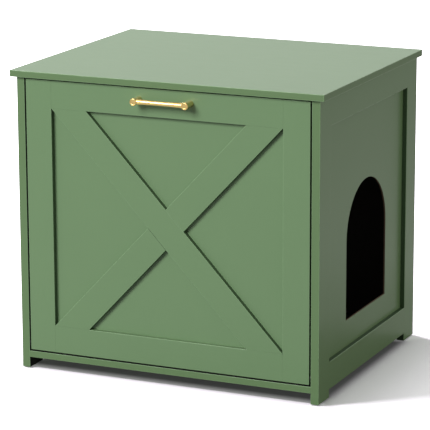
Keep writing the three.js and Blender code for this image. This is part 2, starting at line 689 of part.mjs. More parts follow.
/** A steel pin in the door's lower corner, reaching across the gap into the leg's bush. */
function pivotPin(side, label) {
  const start = DOOR_HALF_WIDTH - PIN_DEPTH_IN_DOOR;
  const end = SIDE_INNER_X - BUSH_FLANGE_THICKNESS + PIN_DEPTH_IN_BUSH;
  return turned(`${label}_pivot_pin`, BRIGHT_STEEL, [
    [0, 0],
    [PIN_RADIUS, 0],
    [PIN_RADIUS, end - start - PIN_END_EASE],
    [PIN_RADIUS - PIN_END_EASE, end - start],
    [0, end - start],
  ], [side * start, PIVOT_INSET, PIVOT_Z], X_AXIS.clone().multiplyScalar(side));
}

const pivotPinHole = (side) => rod(
  PIN_RADIUS + RUNNING_GAP, PIN_DEPTH_IN_DOOR + 2 * FIT_GAP,
  [side * (DOOR_HALF_WIDTH - PIN_DEPTH_IN_DOOR - FIT_GAP), PIVOT_INSET, PIVOT_Z],
  X_AXIS.clone().multiplyScalar(side),
);

/** The whole door, built closed. */
function door() {
  const strikes = SIDES.map(({ side, label }) => strikePlate(side, label));
  const panel = doorPanel();
  const panelRoom = roomFor(panel, FIT_GAP);
  const railHalf = OPENING_HALF_WIDTH - GLUE_GAP;

  const stiles = SIDES.map(({ side, label }) => cut(
    board(`door_${label}_stile`, PAINTED_WOOD,
      [side * OPENING_HALF_WIDTH, 0, DOOR_BOTTOM], [side * DOOR_HALF_WIDTH, DOOR_THICKNESS, DOOR_TOP]),
    [panelRoom, pivotPinHole(side)],
  ));
  const topRail = cut(
    board('door_top_rail', PAINTED_WOOD,
      [-railHalf, 0, OPENING_TOP], [railHalf, DOOR_THICKNESS, DOOR_TOP]),
    [panelRoom, ...HANDLE_STATIONS.map(handleScrewHole), ...strikes.map(({ screwRoom }) => screwRoom)],
  );
  const bottomRail = cut(
    board('door_bottom_rail', PAINTED_WOOD,
      [-railHalf, 0, DOOR_BOTTOM], [railHalf, DOOR_THICKNESS, OPENING_BOTTOM]),
    [panelRoom],
  );

  const group = new THREE.Group();
  group.add(panel, ...stiles, topRail, bottomRail, ...braces(), barHandle());
  SIDES.forEach(({ side, label }, index) => {
    group.add(handleScrew(`${label}_handle_screw`, HANDLE_STATIONS[index]), pivotPin(side, label));
  });
  group.add(...strikes.flatMap(({ pieces }) => pieces));
  return group;
}

// ---------------------------------------------------------------- assembly

function cabinet() {
  const back = backPanel();
  const backRoom = roomFor(back, FIT_GAP);
  const joints = SIDES.map(({ side, label }) => camJoints(side, label));
  const catches = SIDES.map(({ side, label }) => magneticCatch(side, label));

  const carcass = new THREE.Group();
  carcass.add(topPanel(joints, catches, backRoom), basePanel(joints, backRoom), back);
  SIDES.forEach(({ side, label }, index) => {
    carcass.add(sideFrame(side, label, joints[index], backRoom));
  });
  const camPieces = joints.flatMap(({ toTop, toBase }) => partsOf([...toTop, ...toBase], 'pieces'));
  carcass.add(...camPieces);
  carcass.add(...catches.flatMap(({ pieces }) => pieces));

  const whole = new THREE.Group();
  whole.add(carcass, door());
  whole.position.y = -ORIGIN_Y;
  return whole;
}

export default cabinet();
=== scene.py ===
"""Looks for a cat litter box cabinet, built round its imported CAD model.

The cabinet is a sage green framed box on four legs. Its front is a cross-braced
door that drops down and has a brass bar handle, and its right side has an arched
entrance. Everything is in metres with +Z up, and the front faces -Y.
"""

from __future__ import annotations

import json
import logging
import math
from collections.abc import Callable, Iterable, Mapping, Sequence
from dataclasses import dataclass, field
from enum import Enum
from itertools import pairwise
from typing import Any

import bmesh
import bpy
from mathutils import Euler, Matrix, Vector

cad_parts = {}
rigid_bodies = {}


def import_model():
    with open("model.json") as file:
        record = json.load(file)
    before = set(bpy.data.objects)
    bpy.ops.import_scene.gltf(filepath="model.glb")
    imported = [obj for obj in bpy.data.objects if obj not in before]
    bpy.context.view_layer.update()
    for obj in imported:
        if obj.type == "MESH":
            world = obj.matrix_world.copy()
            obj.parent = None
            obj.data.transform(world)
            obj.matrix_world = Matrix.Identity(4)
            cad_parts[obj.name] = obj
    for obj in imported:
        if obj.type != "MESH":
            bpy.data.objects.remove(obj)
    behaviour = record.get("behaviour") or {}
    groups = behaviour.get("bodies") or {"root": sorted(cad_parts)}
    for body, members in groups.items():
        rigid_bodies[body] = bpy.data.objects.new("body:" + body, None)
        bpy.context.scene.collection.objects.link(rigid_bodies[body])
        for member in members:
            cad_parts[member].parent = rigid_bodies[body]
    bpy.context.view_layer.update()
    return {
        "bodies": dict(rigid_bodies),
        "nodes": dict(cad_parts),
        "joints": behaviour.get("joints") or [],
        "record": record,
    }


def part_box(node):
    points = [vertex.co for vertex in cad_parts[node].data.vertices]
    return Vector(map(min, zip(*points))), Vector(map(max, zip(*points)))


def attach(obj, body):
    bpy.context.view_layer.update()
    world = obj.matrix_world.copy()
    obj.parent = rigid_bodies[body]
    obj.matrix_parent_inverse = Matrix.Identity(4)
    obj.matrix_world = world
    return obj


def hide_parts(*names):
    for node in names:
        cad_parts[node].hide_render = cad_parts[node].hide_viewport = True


LOG = logging.getLogger("litter_cabinet")

MM = 0.001
SAME_PLACE = 1e-5
SAME_POINT_ON_A_TURNING = 1e-7
FLAT_WITHIN = math.radians(0.5)
SHARP_FROM = math.radians(35.0)
EASED_FROM = math.radians(40.0)
SQUARE_ON = 0.999

Colour = tuple[float, float, float]
Span = tuple[float, float]

WHITE: Colour = (1.0, 1.0, 1.0)
SAGE_DEEP: Colour = (0.163, 0.269, 0.134)
SAGE_PALE: Colour = (0.180, 0.292, 0.147)


# ------------------------------------------------------------------ shader graphs


def rgba(colour: Colour) -> tuple[float, float, float, float]:
    """Returns a colour with full opacity."""
    return (*colour, 1.0)


class Wire:
    """One shader output, with Python's arithmetic written as Math nodes."""

    def __init__(self, graph: Graph, socket: bpy.types.NodeSocket) -> None:
        """Wraps a socket.

        Args:
            graph: The graph that the socket's node is in.
            socket: An output socket.
        """
        self.graph = graph
        self.socket = socket

    def _math(self, operation: str, first: Wire | float, second: Wire | float) -> Wire:
        """Returns the output of a new Math node on two values."""
        return self.graph.add(
            "ShaderNodeMath", {"operation": operation}, {0: first, 1: second}
        )

    def __add__(self, other: Wire | float) -> Wire:
        """Returns self + other."""
        return self._math("ADD", self, other)

    def __radd__(self, other: Wire | float) -> Wire:
        """Returns other + self."""
        return self._math("ADD", other, self)

    def __sub__(self, other: Wire | float) -> Wire:
        """Returns self - other."""
        return self._math("SUBTRACT", self, other)

    def __rsub__(self, other: Wire | float) -> Wire:
        """Returns other - self."""
        return self._math("SUBTRACT", other, self)

    def __mul__(self, other: Wire | float) -> Wire:
        """Returns self * other."""
        return self._math("MULTIPLY", self, other)

    def __rmul__(self, other: Wire | float) -> Wire:
        """Returns other * self."""
        return self._math("MULTIPLY", other, self)

    def __lt__(self, other: Wire | float) -> Wire:
        """Returns 1 where self is less than other, and else 0."""
        return self._math("LESS_THAN", self, other)

    def __abs__(self) -> Wire:
        """Returns the absolute value."""
        return self.graph.add("ShaderNodeMath", {"operation": "ABSOLUTE"}, {0: self})

    def either(self, other: Wire | float) -> Wire:
        """Returns the larger of self and other."""
        return self._math("MAXIMUM", self, other)


class Graph:
    """The node tree of one material or world, with one way to add a node."""

    def __init__(self, tree: bpy.types.NodeTree) -> None:
        """Empties a tree.

        Args:
            tree: The node tree to fill.
        """
        self.tree = tree
        self.tree.nodes.clear()

    def add(
        self,
        kind: str,
        settings: Mapping[str, Any] | None = None,
        inputs: Mapping[str | int, Any] | None = None,
        output: str | int = 0,
    ) -> Wire:
        """Adds one node.

        Args:
            kind: The node's type.
            settings: Its settings, set before its sockets. "stops" are a ramp's
                positions and colours.
            inputs: The values or wires of its input sockets, by name or number.
            output: The output socket to return.

        Returns:
            The wire that leaves the node.
        """
        node = self.tree.nodes.new(kind)
        for name, value in (settings or {}).items():
            if name == "stops":
                ramp = node.color_ramp.elements
                while len(ramp) < len(value):
                    ramp.new(1.0)
                for stop, (place, colour) in zip(ramp, value):
                    stop.position = place
                    stop.color = rgba(colour)
            else:
                setattr(node, name, value)
        for key, value in (inputs or {}).items():
            if isinstance(value, Wire):
                self.tree.links.new(value.socket, node.inputs[key])
            else:
                node.inputs[key].default_value = value
        return Wire(self, node.outputs[output] if len(node.outputs) else None)

    def noise(self, place: Wire, scale: float, detail: float = 2.0) -> Wire:
        """Returns a noise from 0 to 1 at a place, with scale features to a metre."""
        return self.add(
            "ShaderNodeTexNoise",
            None,
            {"Vector": place, "Scale": scale, "Detail": detail, "Roughness": 0.55},
        )

    def blend(self, share: Wire, first: Colour | Wire, second: Colour | Wire) -> Wire:
        """Returns a mix of two colours.

        Args:
            share: The second colour's share, from 0 to 1.
            first: The colour at 0.
            second: The colour at 1.

        Returns:
            The wire of the mixed colour.
        """
        ends = [c if isinstance(c, Wire) else rgba(c) for c in (first, second)]
        return self.add(
            "ShaderNodeMix",
            {"data_type": "RGBA"},
            {0: share, 6: ends[0], 7: ends[1]},
            output=2,
        )

    def vary(self, middle: float, spread: float, share: Wire) -> Wire:
        """Returns a value that goes up and down by half its spread with a share."""
        return middle - spread / 2.0 + share * spread

    def bump(self, height: Wire, depth: float, strength: float) -> Wire:
        """Returns normals raised by a height from 0 to 1, depth metres deep."""
        return self.add(
            "ShaderNodeBump",
            None,
            {"Height": height, "Distance": depth, "Strength": strength},
        )


def new_material(name: str) -> tuple[bpy.types.Material, Graph, Wire]:
    """Starts a material.

    Args:
        name: The material's name.

    Returns:
        The material, its graph, and the wire of its Object coordinates.
    """
    material = bpy.data.materials.new(name)
    material.use_nodes = True
    graph = Graph(material.node_tree)
    place = graph.add("ShaderNodeTexCoord", output="Object")
    return material, graph, place


def close_material(graph: Graph, inputs: Mapping[str, Any]) -> None:
    """Ends a graph with a Principled shader and the material's output.

    Args:
        graph: The material's graph.
        inputs: The shader's values and wires.
    """
    shader = graph.add("ShaderNodeBsdfPrincipled", None, inputs)
    graph.add("ShaderNodeOutputMaterial", None, {"Surface": shader})


# ------------------------------------------------------------------ finishes


class Stroke(Enum):
    """How the paint roller ran: its slant in the XZ plane, and its stretch."""

    ALONG_X = (0.0, (1.0, 9.0, 9.0))
    ALONG_Y = (0.0, (9.0, 1.0, 9.0))
    ALONG_Z = (0.0, (9.0, 9.0, 1.0))
    FALLING = (42.0, (1.0, 9.0, 9.0))
    RISING = (-42.0, (1.0, 9.0, 9.0))


class Facing(Enum):
    """Which way a panel's painted face looks: its axis, and the way along it."""

    LEFT = ("X", -1.0)
    RIGHT = ("X", 1.0)
    BACK = ("Y", 1.0)


class Slot(Enum):
    """The record's material slots."""

    PAINTED_WOOD = "painted_wood"
    BRASS = "brass"
    STEEL = "steel"


class Coat(Enum):
    """Where a stretch of paint lies: its share of the colour, and its roughness. Each
    coat but FACE is a lit or shaded copy of the one paint, with painted highlight or
    painted shade in its colour.
    """

    FACE = ((1.0, 1.0, 1.0), 0.34)
    # EDGE: painted shade, a darker and warmer copy of the paint on the boards' narrow
    # faces.
    EDGE = ((0.80, 0.82, 0.73), 0.38)
    # ARRIS: painted highlight, a lighter copy of the paint on the eased edges.
    ARRIS = ((1.35, 1.32, 1.38), 0.28)
    # RECESS: painted shade on the faces in the recesses and gaps of the door and side
    # frames.
    RECESS = ((0.38, 0.41, 0.37), 0.5)
    # LEDGE: deeper painted shade on the side rails' faces beside the recessed panels.
    LEDGE = ((0.22, 0.27, 0.21), 0.55)

    @property
    def number(self) -> int:
        """Returns the coat's material number on a board."""
        return list(Coat).index(self)

    @property
    def roughness(self) -> float:
        """Returns the coat's roughness."""
        return self.value[1]

    def tint(self, colour: Colour) -> Colour:
        """Returns the coat's share of a colour."""
        return tuple(share * part for share, part in zip(self.value[0], colour))


@dataclass(frozen=True)
class SagePaint:
    """Satin sage paint, rolled on along a board."""

    stroke: Stroke
    coat: Coat = Coat.FACE
    deep: Colour = SAGE_DEEP
    pale: Colour = SAGE_PALE
    cloud_scale: float = 5.0
    streak_scale: float = 26.0
    peel_scale: float = 620.0
    streak_share: float = 0.3
    peel_depth: float = 0.2 * MM
    peel_strength: float = 0.15

    def material(self) -> bpy.types.Material:
        """Makes the paint's material, once for each stroke and coat.

        Returns:
            The material.
        """
        name = f"sage paint {self.coat.name} {self.stroke.name}".lower()
        if name in bpy.data.materials:
            return bpy.data.materials[name]
        material, graph, place = new_material(name)
        slant, stretch = self.stroke.value
        turned_place = graph.add(
            "ShaderNodeMapping",
            None,
            {
                "Vector": place,
                "Rotation": (0.0, math.radians(slant), 0.0),
                "Scale": stretch,
            },
        )
        cloud = graph.noise(place, self.cloud_scale, 3.0)
        streak = graph.noise(turned_place, self.streak_scale, 3.0)
        peel = graph.noise(place, self.peel_scale, 1.0)
        tone = cloud * (1.0 - self.streak_share) + streak * self.streak_share
        # The coat's tint paints its highlight or shade into the colour.
        close_material(
            graph,
            {
                "Base Color": graph.blend(
                    tone, self.coat.tint(self.deep), self.coat.tint(self.pale)
                ),
                "Roughness": graph.vary(self.coat.roughness, 0.08, streak),
                "Normal": graph.bump(
                    peel + streak * 0.5, self.peel_depth, self.peel_strength
                ),
                "Specular IOR Level": 0.35,
            },
        )
        return material


@dataclass(frozen=True)
class PaintedHardboard:
    """Thin hardboard with paint on its outer face, bare board where sawn, and painted
    shade, near black, on its inner face.
    """

    facing: Facing
    deep: Colour = SAGE_DEEP
    pale: Colour = SAGE_PALE
    sawn_dark: Colour = (0.17, 0.11, 0.072)
    sawn_light: Colour = (0.25, 0.17, 0.115)
    inside_dark: Colour = (0.016, 0.013, 0.010)
    inside_light: Colour = (0.026, 0.021, 0.016)
    cloud_scale: float = 5.0
    fibre_scale: float = 900.0
    peel_scale: float = 620.0
    painted_roughness: float = 0.34
    bare_roughness: float = 0.74

    def material(self) -> bpy.types.Material:
        """Makes the panel's material.

        Returns:
            The material.
        """
        axis, sign = self.facing.value
        name = f"painted hardboard {self.facing.name}".lower()
        material, graph, place = new_material(name)
        normal = graph.add("ShaderNodeNewGeometry", output="True Normal")
        across = graph.add("ShaderNodeSeparateXYZ", None, {0: normal}, output=axis)
        bare = across * sign < 0.5
        inside = across * sign < -0.5
        cloud = graph.noise(place, self.cloud_scale, 3.0)
        fibre = graph.noise(place, self.fibre_scale, 4.0)
        peel = graph.noise(place, self.peel_scale, 1.0)
        paint = graph.blend(cloud, self.deep, self.pale)
        sawn = graph.blend(fibre, self.sawn_dark, self.sawn_light)
        # The inner face is painted shade: near black.
        smooth = graph.blend(fibre, self.inside_dark, self.inside_light)
        board = graph.blend(inside, sawn, smooth)
        close_material(
            graph,
            {
                "Base Color": graph.blend(bare, paint, board),
                "Roughness": self.painted_roughness
                + bare * (self.bare_roughness - self.painted_roughness),
                "Normal": graph.bump(peel, 0.2 * MM, 0.15),
                "Specular IOR Level": 0.35,
            },
        )
        return material


@dataclass(frozen=True)
class DarkLaminate:
    """Painted shade: a near-black colour on the faces of the boards inside the cabinet,
    where it is in shadow.
    """

    low: Colour = (0.014, 0.014, 0.012)
    high: Colour = (0.022, 0.022, 0.019)

    def material(self) -> bpy.types.Material:
        """Makes the painted inside shade's material, once.

        Returns:
            The material.
        """
        name = "dark laminate"
        if name in bpy.data.materials:
            return bpy.data.materials[name]
        material, graph, place = new_material(name)
        grain = graph.noise(place, 1500.0, 2.0)
        close_material(
            graph,
            {
                "Base Color": graph.blend(graph.noise(place, 9.0), self.low, self.high),
                "Roughness": graph.vary(0.55, 0.1, grain),
                "Normal": graph.bump(grain, 0.05 * MM, 0.3),
                "Specular IOR Level": 0.35,
            },
        )
        return material


@dataclass(frozen=True)
class BrushedMetal:
    """A metal with fine scratches, and lacquer over it if it has any."""

    name: str
    low: Colour
    high: Colour
    roughness: float
    lacquer: float = 0.0
    grain: Colour = (60.0, 900.0, 900.0)

    def material(self) -> bpy.types.Material:
        """Makes the metal's material, once for each name.

        Returns:
            The material.
        """
        if self.name in bpy.data.materials:
            return bpy.data.materials[self.name]
        material, graph, place = new_material(self.name)
        stretched = graph.add(
            "ShaderNodeMapping", None, {"Vector": place, "Scale": self.grain}
        )
        scratch = graph.noise(stretched, 3.0, 4.0)
        cloud = graph.noise(place, 40.0, 2.0)
        close_material(
            graph,
            {
                "Base Color": graph.blend(cloud, self.low, self.high),
                "Metallic": 1.0,
                "Roughness": graph.vary(self.roughness, 0.08, scratch),
                "Normal": graph.bump(scratch, 0.05 * MM, 0.25),
                "Coat Weight": self.lacquer,
                "Coat Roughness": 0.12,
            },
        )
        return material


@dataclass(frozen=True)
class MouldedPlastic:
    """A plastic with the fine grain of its mould."""

    name: str
    low: Colour
    high: Colour
    roughness: float

    def material(self) -> bpy.types.Material:
        """Makes the plastic's material, once for each name.

        Returns:
            The material.
        """
        if self.name in bpy.data.materials:
            return bpy.data.materials[self.name]
        material, graph, place = new_material(self.name)
        grain = graph.noise(place, 2400.0, 2.0)
        cloud = graph.noise(place, 60.0, 2.0)
        close_material(
            graph,
            {
                "Base Color": graph.blend(cloud, self.low, self.high),
                "Roughness": graph.vary(self.roughness, 0.1, grain),
                "Normal": graph.bump(grain, 0.04 * MM, 0.4),
            },
        )
        return material


Finish = SagePaint | PaintedHardboard | DarkLaminate | BrushedMetal | MouldedPlastic

# A board's materials are its coats of paint, and after them the painted shade on the
# faces inside.
INSIDE_SHADE = len(Coat)

BRASS = BrushedMetal(
    "lacquered brass",
    (0.68, 0.47, 0.15),
    (0.76, 0.54, 0.19),
    0.24,
    lacquer=1.0,
)
ZINC = BrushedMetal("zinc plated steel", (0.52, 0.53, 0.55), (0.62, 0.63, 0.64), 0.32)
CAST = BrushedMetal("die-cast cam", (0.24, 0.245, 0.25), (0.32, 0.325, 0.33), 0.5)
BLACKENED = BrushedMetal(
    "blackened steel", (0.03, 0.03, 0.031), (0.05, 0.05, 0.052), 0.45
)
BLACK_PLASTIC = MouldedPlastic(
    "black plastic", (0.012, 0.013, 0.012), (0.02, 0.021, 0.02), 0.5
)
WHITE_PLASTIC = MouldedPlastic(
    "white plastic", (0.72, 0.71, 0.67), (0.8, 0.79, 0.75), 0.42
)


# ------------------------------------------------------------------ pieces


class Bench:
    """Where finished pieces are made into objects and put on the frame."""

    def __init__(self, frame: Mapping[str, Any]) -> None:
        """Keeps the loaded frame.
        """
        self.nodes: dict[str, bpy.types.Object] = frame["nodes"]

    def take_copy(self, node: str) -> bmesh.types.BMesh:
        """Copies a CAD node's triangles and merges them into whole faces.

        Args:
            node: The node's name.

        Returns:
            A bmesh of the merged copy.
        """
        bm = bmesh.new()
        bm.from_mesh(self.nodes[node].data)
        bmesh.ops.remove_doubles(bm, verts=bm.verts, dist=SAME_PLACE)
        bmesh.ops.dissolve_limit(
            bm,
            angle_limit=FLAT_WITHIN,
            verts=bm.verts,
            edges=bm.edges,
        )
        bmesh.ops.recalc_face_normals(bm, faces=bm.faces)
        return bm

    def fit(
        self,
        name: str,
        bm: bmesh.types.BMesh,
        body: str,
        finishes: Sequence[Finish],
        replaces: Iterable[str] = (),
    ) -> bpy.types.Object:
        """Makes a bmesh an object that rides on a body.

        Args:
            name: The piece's name.
            bm: Its shape, which is freed.
            body: The CAD body it rides on.
            finishes: Its finishes, by the faces' material numbers.
            replaces: The CAD nodes it stands for.

        Returns:
            The new object.
        """
        mesh = bpy.data.meshes.new(name)
        for face in bm.faces:
            face.smooth = True
        for edge in bm.edges:
            edge.smooth = edge.calc_face_angle(0.0) < SHARP_FROM
        bm.to_mesh(mesh)
        bm.free()
        for finish in finishes:
            mesh.materials.append(finish.material())
        piece = bpy.data.objects.new(name, mesh)
        bpy.context.scene.collection.objects.link(piece)
        shading = piece.modifiers.new("even shading", "WEIGHTED_NORMAL")
        shading.keep_sharp = True
        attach(piece, body)
        if replaces:
            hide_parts(*replaces)
        LOG.info("%s: %d faces on %s", name, len(mesh.polygons), body)
        return piece

    def dress(self, node: str, finish: Finish, easing: float = 0.0) -> None:
        """Gives a CAD node its finish, and eases its edges.

        Args:
            node: The node's name.
            finish: The finish for all of it.
            easing: The radius of its eased edges, or 0 for none.
        """
        part = self.nodes[node]
        for slot in part.material_slots:
            slot.material = finish.material()
        if easing > 0.0:
            part.modifiers.new("merge", "WELD").merge_threshold = SAME_PLACE
            rounding = part.modifiers.new("eased edges", "BEVEL")
            rounding.width = easing
            rounding.segments = 2
            rounding.limit_method = "ANGLE"
            rounding.angle_limit = EASED_FROM
        LOG.info("%s: dressed in %s", node, type(finish).__name__)


class Side(Enum):
    """The cabinet's two sides, seen from its front, and their place along X."""

    LEFT = ("left", -1.0)
    RIGHT = ("right", 1.0)

    @property
    def label(self) -> str:
        """Returns the side's name."""
        return self.value[0]

    @property
    def sign(self) -> float:
        """Returns -1 for the left and 1 for the right."""
        return self.value[1]

    @property
    def inward(self) -> str:
        """Returns the name of the way from this side to the cabinet's middle."""
        return "-x" if self is Side.RIGHT else "+x"


@dataclass(frozen=True)
class OpenRun:
    """The stretches of one face of a board whose edges aren't glued to a neighbour."""

    axis: int
    spans: tuple[Span, ...]

    def holds(self, place: Vector) -> bool:
        """Returns whether a point is in one of the stretches."""
        return any(low < place[self.axis] < high for low, high in self.spans)


@dataclass(frozen=True)
class PaintedBoard:
    """A board with eased edges, except where it is glued to its neighbours."""

    node: str
    body: str
    stroke: Stroke
    # coats paint highlight and shade into the faces by the way they face; None gives the
    # painted inside shade.
    coats: Mapping[str, Coat | None] = field(default_factory=dict)
    glued: tuple[str, ...] = ()
    open_runs: Mapping[str, OpenRun] = field(default_factory=dict)
    easing: float = 0.8 * MM
    segments: int = 3
    stop: float = 0.2 * MM

    def build(self, bench: Bench) -> None:
        """Makes the board and puts it in its node's place.

        Args:
            bench: The bench to make it on.
        """
        bm = bench.take_copy(self.node)
        low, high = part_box(self.node)
        for run in self.open_runs.values():
            for first, last in run.spans:
                for place in (first - self.stop, first, last, last + self.stop):
                    self._score(bm, run.axis, place)
        arrises = [edge for edge in bm.edges if self._is_eased(edge, low, high)]
        bmesh.ops.bevel(
            bm,
            geom=arrises,
            offset=self.easing,
            offset_type="OFFSET",
            affect="EDGES",
            segments=self.segments,
            profile=0.5,
            material=-1,
        )
        for face in bm.faces:
            face.material_index = self._number(face)
        bench.fit(
            f"{self.node}_board",
            bm,
            self.body,
            [*(SagePaint(self.stroke, coat) for coat in Coat), DarkLaminate()],
            [self.node],
        )

    def _number(self, face: bmesh.types.BMFace) -> int:
        """Finds a face's material, by the way that it faces.

        Args:
            face: The face.

        Returns:
            The material's number.
        """
        for name in ("-x", "+x", "-y", "+y", "-z", "+z"):
            along = face.normal["xyz".index(name[1])]
            if (along if name[0] == "+" else -along) > SQUARE_ON:
                coat = self.coats.get(name, Coat.FACE)
                return INSIDE_SHADE if coat is None else coat.number
        # The eased faces take the painted highlight.
        return Coat.ARRIS.number

    def _score(self, bm: bmesh.types.BMesh, axis: int, place: float) -> None:
        """Cuts the faces along a plane, so that an edge can be eased in part.

        Args:
            bm: The board.
            axis: The plane's axis, by number.
            place: The plane's place along it.
        """
        through = Vector((0.0, 0.0, 0.0))
        through[axis] = place
        normal = Vector((0.0, 0.0, 0.0))
        normal[axis] = 1.0
        bmesh.ops.bisect_plane(
            bm,
            geom=[*bm.verts, *bm.edges, *bm.faces],
            dist=SAME_PLACE,
            plane_co=through,
            plane_no=normal,
        )

    def _is_eased(self, edge: bmesh.types.BMEdge, low: Vector, high: Vector) -> bool:
        """Finds whether an edge is an arris of the board that is eased.

        Args:
            edge: The edge.
            low: The board's lowest corner.
            high: The board's highest corner.

        Returns:
            True where it is eased.
        """
        faces = box_faces(edge, low, high)
        if len(faces) != 2 or any(face in self.glued for face in faces):
            return False
        middle = (edge.verts[0].co + edge.verts[1].co) / 2.0
        return all(
            self.open_runs[face].holds(middle)
            for face in faces
            if face in self.open_runs
        )


def box_faces(edge: bmesh.types.BMEdge, low: Vector, high: Vector) -> list[str]:
    """Returns the faces of a box that an edge lies in, such as ["-y", "+z"].

    Args:
        edge: The edge.
        low: The box's lowest corner.
        high: The box's highest corner.

    Returns:
        The names of the faces.
    """
    found = []
    for axis, letter in enumerate("xyz"):
        for sign, limit in (("-", low[axis]), ("+", high[axis])):
            if all(abs(vert.co[axis] - limit) < SAME_PLACE for vert in edge.verts):
                found.append(sign + letter)
    return found


@dataclass(frozen=True)
class BraceBoard:
    """A slanting board of the door's cross, with its two long front edges eased."""

    node: str
    stroke: Stroke
    easing: float = 0.8 * MM
    segments: int = 3
    shortest_arris: float = 100.0 * MM
    faces_forward: float = 0.1

    def build(self, bench: Bench) -> None:
        """Makes the brace and puts it in its node's place.

        Args:
            bench: The bench to make it on.
        """
        bm = bench.take_copy(self.node)
        low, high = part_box(self.node)
        arrises = [
            edge
            for edge in bm.edges
            if box_faces(edge, low, high) == ["-y"]
            and edge.calc_length() > self.shortest_arris
        ]
        bmesh.ops.bevel(
            bm,
            geom=arrises,
            offset=self.easing,
            offset_type="OFFSET",
            affect="EDGES",
            segments=self.segments,
            profile=0.5,
            material=-1,
        )
        # The eased front edges take painted highlight, and the side faces painted shade.
        for face in bm.faces:
            forward = -face.normal.y
            coat = Coat.FACE if forward > SQUARE_ON else Coat.ARRIS
            if forward < self.faces_forward:
                coat = Coat.RECESS
            face.material_index = coat.number
        bench.fit(
            f"{self.node}_board",
            bm,
            "door",
            [SagePaint(self.stroke, coat) for coat in Coat],
            [self.node],
        )


# ------------------------------------------------------------------ carcass


X, Y, Z = 0, 1, 2


@dataclass(frozen=True)
class Carcass:
    """The top, base, back and two side frames."""

    top_easing: float = 1.0 * MM
    base_easing: float = 0.6 * MM
    floor_gap: float = 1.0 * MM

    def build(self, bench: Bench) -> None:
        """Makes the carcass boards and dresses its panels.

        Args:
            bench: The bench to make them on.
        """
        # The top's and base's edge faces take painted shade, and the base's top face
        # inside takes the painted inside shade.
        PaintedBoard(
            "top_panel",
            "carcass",
            Stroke.ALONG_X,
            coats={side: Coat.EDGE for side in ("-x", "+x", "-y", "+y")},
            easing=self.top_easing,
        ).build(bench)
        PaintedBoard(
            "base_panel",
            "carcass",
            Stroke.ALONG_X,
            coats={"-y": Coat.EDGE, "+y": Coat.EDGE, "+z": None},
            glued=("-x", "+x"),
            easing=self.base_easing,
        ).build(bench)
        for side in Side:
            self._side_frame(side, bench)
        bench.dress("back_panel", PaintedHardboard(Facing.BACK))
        bench.dress("left_panel", PaintedHardboard(Facing.LEFT))
        bench.dress("right_panel", PaintedHardboard(Facing.RIGHT))

    def _side_frame(self, side: Side, bench: Bench) -> None:
        """Makes the legs and rails of one side.

        Args:
            side: Which side.
            bench: The bench to make them on.
        """
        label = side.label
        top_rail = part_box(f"{label}_top_rail")
        bottom_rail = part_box(f"{label}_bottom_rail")
        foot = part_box(f"{label}_front_leg")[0].z - self.floor_gap
        inner = OpenRun(
            Z,
            ((foot, bottom_rail[0].z), (bottom_rail[1].z, top_rail[0].z)),
        )
        # Legs: painted shade on the outer narrow face and the face beside the panel,
        # painted inside shade on the inner face.
        for leg, outward, joint in (
            ("front_leg", "-y", "+y"),
            ("rear_leg", "+y", "-y"),
        ):
            PaintedBoard(
                f"{label}_{leg}",
                "carcass",
                Stroke.ALONG_Z,
                coats={outward: Coat.EDGE, joint: Coat.RECESS, side.inward: None},
                glued=("+z",),
                open_runs={joint: inner},
            ).build(bench)
        # Rails: deeper painted shade on the face beside the panel, painted inside shade
        # on the inner face.
        for rail, glued, recess in (
            ("top_rail", ("-y", "+y", "+z"), "-z"),
            ("bottom_rail", ("-y", "+y"), "+z"),
        ):
            PaintedBoard(
                f"{label}_{rail}",
                "carcass",
                Stroke.ALONG_Y,
                coats={recess: Coat.LEDGE, side.inward: None},
                glued=glued,
            ).build(bench)


# ------------------------------------------------------------------ door


@dataclass(frozen=True)
class Door:
    """The drop-down door: its frame, its thin panel and its cross brace."""

    brace_foot: float = 68.65 * MM

    def build(self, bench: Bench) -> None:
        """Makes the door's boards and dresses its panel.

        Args:
            bench: The bench to make them on.
        """
        top_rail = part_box("door_top_rail")
        bottom_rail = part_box("door_bottom_rail")
        beside_panel = OpenRun(Z, ((bottom_rail[1].z, top_rail[0].z),))
        # The stiles' side and end faces take painted shade.
        for side in Side:
            PaintedBoard(
                f"door_{side.label}_stile",
                "door",
                Stroke.ALONG_Z,
                coats={way: Coat.RECESS for way in ("-x", "+x", "-z", "+z")},
                open_runs={side.inward: beside_panel},
            ).build(bench)
        between_feet = OpenRun(
            X,
            ((top_rail[0].x + self.brace_foot, top_rail[1].x - self.brace_foot),),
        )
        # The rails' faces above and below take painted shade; lit is the coat of each
        # rail's upper face, painted shade on both.
        for rail, joint, lit in (
            ("top_rail", "-z", Coat.RECESS),
            ("bottom_rail", "+z", Coat.EDGE),
        ):
            PaintedBoard(
                f"door_{rail}",
                "door",
                Stroke.ALONG_X,
                coats={"-z": Coat.RECESS, "+z": lit},
                glued=("-x", "+x"),
                open_runs={joint: between_feet},
            ).build(bench)
        BraceBoard("door_long_brace", Stroke.FALLING).build(bench)
        BraceBoard("door_upper_brace", Stroke.RISING).build(bench)
        BraceBoard("door_lower_brace", Stroke.RISING).build(bench)
        bench.dress("door_panel", SagePaint(Stroke.ALONG_Z))


# ------------------------------------------------------------------ handle


